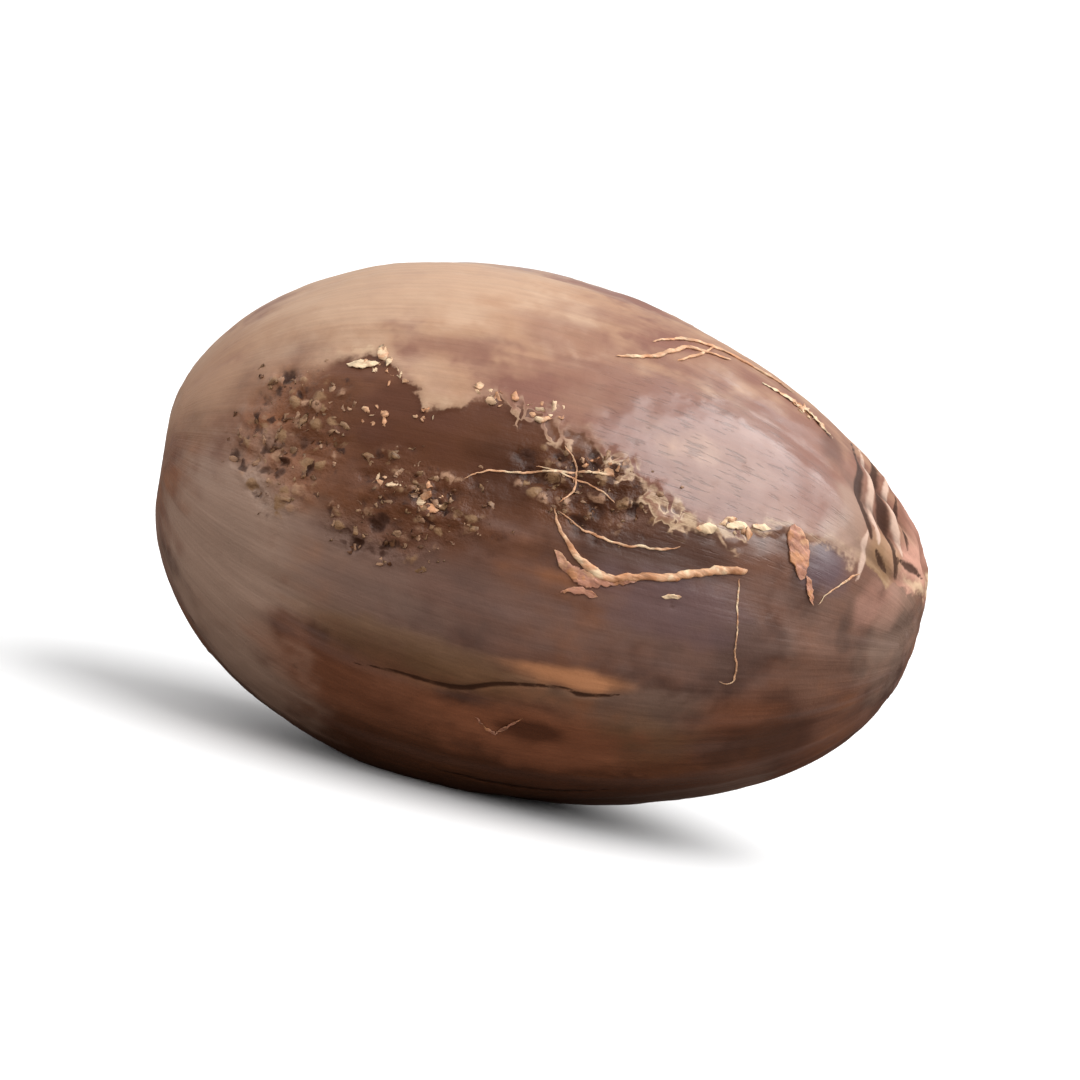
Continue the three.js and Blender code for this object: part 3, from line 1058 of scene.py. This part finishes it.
def shell_material(form, shift, paint):
    """Satin brown shell with bands, a tan skin over the top, and worn and crusty places."""
    material, w = new_material("Seed coat")
    place = w.add("ShaderNodeTexCoord", None, "Object")
    point = w.vector("SUBTRACT", w.scaled(place, 1 / MM), shift / MM)
    skin, inside = skin_cover(w, form, point)
    worn, glossy, grit = w.named("worn"), w.named("gloss"), w.named("grit")
    crusty, flecks, hue = crust(w, point, grit)

    x, _, z = w.split(point)
    bands = streaked(w, point, *BANDS)
    fibres = streaked(w, point, *FIBRES)
    low = w.smooth(z + (bands - 0.5) * 8, -3.5, -9.0)
    ticked = w.smooth(streaked(w, point, *TICKS), 0.55, 0.66) * glossy

    colour = clouded(w, point, 5.0, 11.0, paint.deep, paint.brown, paint.warm)
    # Greyish bands: partly the shell's own, partly a painted sheen.
    colour = w.mix(w.smooth(bands, 0.5, 0.68) * 0.5, colour, paint.grey)
    colour = w.mix(w.smooth(bands, 0.5, 0.32) * 0.45, colour, paint.deep)
    # Umber towards the bottom: painted shade on the underside.
    colour = w.mix(low * 0.75, colour, paint.umber)
    colour = w.mix(worn * 0.95, colour, paint.red)
    colour = bloomed(w, colour, "bare_bloom")
    # Raised flecks paler, the crust's own tan with painted light on their tops; sunken flecks
    # darker, painted shade in the pits.
    pale = w.mix(w.smooth(hue, 0.5, 0.9), paint.olive, paint.tan)
    colour = w.mix(w.smooth(flecks, 0.15, 0.8) * 0.9, colour, pale)
    colour = w.mix(w.smooth(flecks, 0.0, -0.5) * 0.7, colour, paint.deep)

    tan = clouded(w, point, 4.0, 17.0, paint.rose, paint.tan, paint.dust)
    tan = bloomed(w, tan, "skin_bloom")
    tan = w.mix(ticked * 0.35, tan, paint.deep)
    colour = w.mix(skin, colour, tan)
    # Cream along the skin's edge: partly its pale frayed skin, partly a painted highlight on the
    # edge.
    rim_highlight = w.bell(inside - 0.2, 0.18) * w.smooth(x, -10.5, -8.5)
    colour = w.mix(rim_highlight * w.smooth(bands, 0.35, 0.65) * 0.6, colour, paint.cream)
    frayed = (w.noise(point, 0.5, seed=19, detail=3.0) - 0.5) * 1.2
    colour = w.mix(w.smooth(w.named("ridges") + frayed, 1.5, 0.5) * 0.8, colour, paint.pale)
    # Painted shade: the creases, the bottoms of the hilum's folds and the sunken flecks are
    # darkened to the pits' colour.
    dark = w.larger(w.smooth(w.named("creases") + frayed, 1.6, 0.6) * 0.9, w.named("folds") * 0.5)
    dark = w.larger(dark, w.smooth(flecks, -0.2, -1.0) * 0.9)
    colour = w.mix(dark, colour, paint.pit)
    colour = w.shaded(colour, w.smooth(fibres, 0.2, 0.75) * 0.12 + 0.93)

    rugged = w.larger(crusty, dark)
    roughness = w.blend(skin, BARE_ROUGHNESS, SKIN_ROUGHNESS)
    roughness = w.blend(glossy, roughness, GLOSSY_ROUGHNESS)
    roughness = w.blend(rugged, roughness, CRUST_ROUGHNESS)
    roughness = w.blend(w.smooth(x, 11.0, 12.6), roughness, HILUM_ROUGHNESS)
    roughness += fibres * FIBRE_ROUGHNESS
    height = (
        (fibres - 0.5) * FIBRE_BUMP
        + (w.noise(point, 0.14, seed=15) - 0.5) * GRAIN_BUMP
        - ticked * TICK_BUMP
        + (w.noise(point, 0.2, seed=18) - 0.5) * grit * GRIT_BUMP
    )
    settings = {"IOR": 1.36, "Coat Roughness": 0.18, "Coat IOR": 1.6}
    coat = glossy * (1 - rugged) * 0.95
    inputs = {"Base Color": colour, "Roughness": roughness, "Coat Weight": coat}
    finish_material(w, settings, inputs, height)
    return material


def mace_material(name, dark, middle, light, tinted=False):
    """Dry, papery mace in three tones, with fine fibres along it."""
    material, w = new_material(name)
    point = w.scaled(w.add("ShaderNodeTexCoord", None, "Object"), 1 / MM)
    colour = clouded(w, point, 0.7, 41.0, dark, middle, light)
    if tinted:
        tint = w.named("tint")
        colour = w.mix(w.smooth(tint, 0.55, 1.0) * 0.8, colour, light)
        colour = w.mix(w.smooth(tint, 0.45, 0.0) * 0.8, colour, dark)
    fibres = streaked(w, point, *MACE_FIBRES)
    colour = w.shaded(colour, w.smooth(fibres, 0.25, 0.7) * 0.5 + 0.65)
    settings = {"Roughness": 0.5, "IOR": 1.45}
    finish_material(w, settings, {"Base Color": colour}, (fibres - 0.5) * MACE_BUMP)
    return material


def floor_material():
    """White floor that lights the nutmeg only as brown neighbours in a pile would."""
    material, w = new_material("Studio floor")
    place = w.add("ShaderNodeTexCoord", None, "Object")
    seen = w.add("ShaderNodeLightPath", None, "Is Camera Ray")
    colour = w.mix(seen, FLOOR_BOUNCE, FLOOR_SEEN)
    colour = w.shaded(colour, w.noise(place, 0.4, seed=31) * 0.06 + 0.95)
    finish_material(w, {"Roughness": 0.8}, {"Base Color": colour})
    return material


# Settings ----------------------------------------------------------------------------------------


def length_property(name, description, default):
    return bpy.props.FloatProperty(
        name=name, description=description, default=default, subtype="DISTANCE", unit="LENGTH"
    )


class NutmegSizes(bpy.types.PropertyGroup):
    """The sizes of the seed."""

    length: length_property("Length", "Length of the smooth seed, before its relief", OVOID_SIZE.x)
    depth: length_property("Depth", "Depth of the smooth seed, front to back", OVOID_SIZE.y)
    height: length_property("Height", "Height of the smooth seed", OVOID_SIZE.z)
    squareness: bpy.props.FloatProperty(
        name="Squareness",
        description="Exponent of the seed's outline, where 2 is an ellipse",
        default=2.12,
    )
    taper: bpy.props.FloatProperty(
        name="Taper",
        description="Share by which the hilum end is slimmer than the middle",
        default=0.05,
        subtype="FACTOR",
    )


def colour_property(name, description, hex_colour):
    return bpy.props.FloatVectorProperty(
        name=name,
        description=description,
        default=bare(hex_colour),
        subtype="COLOR",
        size=3,
        min=0.0,
        max=1.0,
    )


class NutmegPaint(bpy.types.PropertyGroup):
    """The colours of the shell and of the mace on it."""

    brown: colour_property("Brown", "The shell's main colour", "6e4b3b")
    deep: colour_property("Deep Brown", "The shell's darker blots and bands", "452c22")
    warm: colour_property("Warm Brown", "The shell's lighter blots", "84563b")
    # Grey: greyish bands of the shell, and a painted sheen of a reflection on its lower front.
    grey: colour_property("Grey Bands", "Lengthwise bands with a greyish bloom", "755e56")
    # Ash: pale dusty shell, and painted light at the blunt end, on its lower rim and towards the
    # hilum end.
    ash: colour_property("Ash", "Dusty places of the bare shell, mostly at the blunt end", "9e8575")
    # Umber: also painted shade, darker towards the bottom of the shell.
    umber: colour_property("Umber", "The shell's underside", "57321c")
    olive: colour_property("Olive Tan", "Crust, and duller places of the shell", "8a6a4c")
    violet: colour_property("Violet Grey", "Bare shell beside the hilum", "5f4b4e")
    tan: colour_property("Tan Skin", "The skin over the top", "a37e64")
    dust: colour_property("Dust", "The palest parts of the skin", "b5957c")
    rose: colour_property("Rose Brown", "The browner parts of the skin", "7c5345")
    red: colour_property("Worn Red", "Shell where the skin has worn off", "54301f")
    rust: colour_property("Rust", "The darkest mace", "8f5b40")
    blush: colour_property("Blush", "The knob of the hilum", "be8e7c")
    pale: colour_property("Pale Pink", "The crests of folds beside the hilum", "cdb09e")
    coral: colour_property("Coral", "The mace that is still reddish", "b4806a")
    ochre: colour_property("Ochre", "Mace between reddish and faded", "b9825c")
    gold: colour_property("Gold", "Most of the faded mace", "cb9c78")
    # Cream: the palest mace, and the painted highlight along the skin's edge.
    cream: colour_property("Cream", "The palest mace", "dfc5a2")
    # Pits: dark pits, and painted shade in the creases, the bottoms of the hilum's folds, the
    # sunken flecks and low at the hilum end.
    pit: colour_property("Pits", "The bottoms of pits, cracks and folds", "32190d")


# Operators ---------------------------------------------------------------------------------------


class NUTMEG_OT_shell(bpy.types.Operator):
    """Grow the nutmeg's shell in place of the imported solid"""

    bl_idname = "nutmeg.shell"
    bl_label = "Shell"

    def execute(self, context):
        form = SeedForm(context.scene.nutmeg_sizes)
        values = {}
        for name, lines in (("Creases", CREASES), ("Ridges", RIDGES)):
            values[name] = guide_curves(name, [form.trace(line) for line in lines])
        guides = list(values.values())
        paint = context.scene.nutmeg_paint
        shell = grow("seed_coat", shell_tree(form, paint), values)
        for guide in guides:
            bpy.data.objects.remove(guide)
        shift = set_on_frame(shell)
        shell["shift"] = shift
        dress(shell, shell_material(form, shift, paint))
        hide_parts(NODE)
        return {"FINISHED"}


class NUTMEG_OT_strands(bpy.types.Operator):
    """Lay the strands and the papery flakes of dried mace on the shell"""

    bl_idname = "nutmeg.strands"
    bl_label = "Mace Strands"

    def execute(self, context):
        paint = context.scene.nutmeg_paint
        tree = strand_tree()
        gold = mace_material("Mace strands", paint.ochre, paint.gold, paint.cream)
        lay_along("mace_strands", tree, STRANDS, {}, gold)
        thin = {"Thickness": 0.08, "Wander": 0.05, "Gnarl": 0.15, "Lift": 0.05}
        coral = mace_material("Mace flakes", paint.ochre, paint.coral, paint.gold)
        lay_along("mace_flakes", tree, FLAKES, thin, coral)
        pale = mace_material("Mace scales", paint.gold, paint.cream, paint.cream)
        lay_along("mace_scales", tree, SCALES, {**thin, "Thickness": 0.25}, pale)
        return {"FINISHED"}


class NUTMEG_OT_crumbs(bpy.types.Operator):
    """Scatter crumbs of dried mace and grit over the shell's crusty places"""

    bl_idname = "nutmeg.crumbs"
    bl_label = "Mace Crumbs"

    def execute(self, context):
        paint = context.scene.nutmeg_paint
        shell = bpy.data.objects["seed_coat"]
        tree = crumb_tree()
        crumbs = grow("mace_crumbs", tree, {"Shell": shell})
        pale = mace_material("Mace crumbs", paint.ochre, paint.gold, paint.cream, True)
        dress(crumbs, pale)
        fine = {"Mark": "grit", "Gap": 0.16, "Thickly": 0.3, "Seed": 40}
        fine.update({"Smallest": 0.08, "Largest": 0.3})
        grit = grow("crust_grit", tree, {"Shell": shell, **fine})
        dress(grit, mace_material("Crust grit", paint.umber, paint.olive, paint.tan, True))
        return {"FINISHED"}


def dress(piece, material):
    """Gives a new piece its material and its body."""
    piece.data.materials.clear()
    piece.data.materials.append(material)
    piece.data.shade_smooth()
    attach(piece, BODY)


def lay_along(name, tree, lines, values, material):
    """Lays strands on the shell along lines of places with widths."""
    form = SeedForm(bpy.context.scene.nutmeg_sizes)
    shell = bpy.data.objects["seed_coat"]
    shift = Vector(shell["shift"])
    traced = [[(p * MM + shift, width) for p, width in form.trace(line)] for line in lines]
    guides = guide_curves("guides", traced)
    strands = grow(name, tree, {"Guides": guides, "Shell": shell, **values})
    bpy.data.objects.remove(guides)
    dress(strands, material)


def set_on_frame(piece):
    """Moves a piece's mesh so that its box stands where the node's does, and says how far."""
    places = [v.co for v in piece.data.vertices]
    low = Vector(min(p[i] for p in places) for i in range(3))
    high = Vector(max(p[i] for p in places) for i in range(3))
    shift = (CAD_LOW + CAD_HIGH - low - high) / 2
    shift.z = CAD_LOW.z - low.z
    piece.data.transform(Matrix.Translation(shift))
    return shift


class NUTMEG_OT_stage(bpy.types.Operator):
    """Lay the white floor, hang the lights and aim the camera"""

    bl_idname = "nutmeg.stage"
    bl_label = "Stage"

    def execute(self, context):
        middle = (CAD_LOW + CAD_HIGH) / 2
        lay_floor()
        for light in LIGHTS:
            hang_light(*light, middle)
        light_world()
        aim_camera(middle)
        context.scene.view_settings.view_transform = "Standard"
        return {"FINISHED"}


def lay_floor():
    mesh = bpy.data.meshes.new("studio_floor")
    corners = [(-1, -1, 0), (1, -1, 0), (1, 1, 0), (-1, 1, 0)]
    mesh.from_pydata([Vector(corner) * FLOOR_REACH for corner in corners], [], [(0, 1, 2, 3)])
    mesh.materials.append(floor_material())
    add_object("studio_floor", mesh)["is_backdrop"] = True


def hang_light(name, way, distance, size, glow, shines, middle):
    """A soft light that faces the nutmeg. Its first size lies level, and its second one stands."""
    data = bpy.data.lights.new(name, "AREA")
    data.shape = "RECTANGLE"
    data.size, data.size_y = size
    data.energy = glow * math.pi * size[0] * size[1]
    light = add_object(name, data)
    way = Vector(way).normalized()
    light.location = middle + way * distance
    light.rotation_euler = way.to_track_quat("Z", "Y").to_euler()
    light.visible_glossy = shines


def light_world():
    """A room brightest above and behind the seed's blunt end, and plain white to the camera."""
    world = bpy.data.worlds.new("Studio")
    world.use_nodes = True
    world.node_tree.nodes.clear()
    w = Wiring(world.node_tree)
    way = w.add("ShaderNodeTexCoord", None, "Generated")
    facing = w.vector("DOT_PRODUCT", way, BRIGHT_WAY, output="Value")
    glow = w.blend(w.smooth(facing, 0.0, 0.9), DIM_GLOW, BRIGHT_GLOW)
    seen = w.add("ShaderNodeBackground", {"Color": (1, 1, 1, 1), "Strength": 1.0})
    around = w.add("ShaderNodeBackground", {"Color": (1, 1, 1, 1), "Strength": glow})
    straight = w.add("ShaderNodeLightPath", None, "Is Camera Ray")
    both = w.add("ShaderNodeMixShader", {0: straight, 1: around, 2: seen})
    end = world.node_tree.nodes.new("ShaderNodeOutputWorld")
    w.feed(end.inputs["Surface"], both)
    bpy.context.scene.world = world


def aim_camera(middle):
    data = bpy.data.cameras.new("camera")
    data.sensor_width = 36.0
    data.lens = data.sensor_width * CAMERA_DISTANCE / VIEW_WIDTH
    data.clip_start, data.clip_end = 0.01, 10.0
    camera = add_object("camera", data)
    back = Vector((0.0, -math.cos(CAMERA_ELEVATION), math.sin(CAMERA_ELEVATION)))
    camera.location = middle + back * CAMERA_DISTANCE
    turn = (-back).to_track_quat("-Z", "Y").to_matrix()
    camera.rotation_euler = (turn @ Matrix.Rotation(CAMERA_ROLL, 3, "Z")).to_euler()
    bpy.context.scene.camera = camera


class NUTMEG_PT_panel(bpy.types.Panel):
    """The nutmeg's settings and the operators that make its pieces"""

    bl_label = "Whole Nutmeg"
    bl_idname = "NUTMEG_PT_panel"
    bl_space_type = "VIEW_3D"
    bl_region_type = "UI"
    bl_category = "Nutmeg"

    def draw(self, context):
        for operator in OPERATORS:
            self.layout.operator(operator.bl_idname)
        for group in (context.scene.nutmeg_sizes, context.scene.nutmeg_paint):
            box = self.layout.box()
            for name in group.__annotations__:
                box.prop(group, name)


OPERATORS = (NUTMEG_OT_shell, NUTMEG_OT_strands, NUTMEG_OT_crumbs, NUTMEG_OT_stage)
CLASSES = (NutmegSizes, NutmegPaint, *OPERATORS, NUTMEG_PT_panel)


def register():
    for cls in CLASSES:
        bpy.utils.register_class(cls)
    bpy.types.Scene.nutmeg_sizes = bpy.props.PointerProperty(type=NutmegSizes)
    bpy.types.Scene.nutmeg_paint = bpy.props.PointerProperty(type=NutmegPaint)


def unregister():
    del bpy.types.Scene.nutmeg_paint
    del bpy.types.Scene.nutmeg_sizes
    for cls in reversed(CLASSES):
        bpy.utils.unregister_class(cls)


def main():
    register()
    bpy.ops.nutmeg.shell()
    bpy.ops.nutmeg.strands()
    bpy.ops.nutmeg.crumbs()
    bpy.ops.nutmeg.stage()
    sizes = {"cad": CAD_BOUNDS, "visual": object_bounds()}
    sizes = {name: [list(corner) for corner in corners] for name, corners in sizes.items()}


if __name__ == "__main__":
    main()
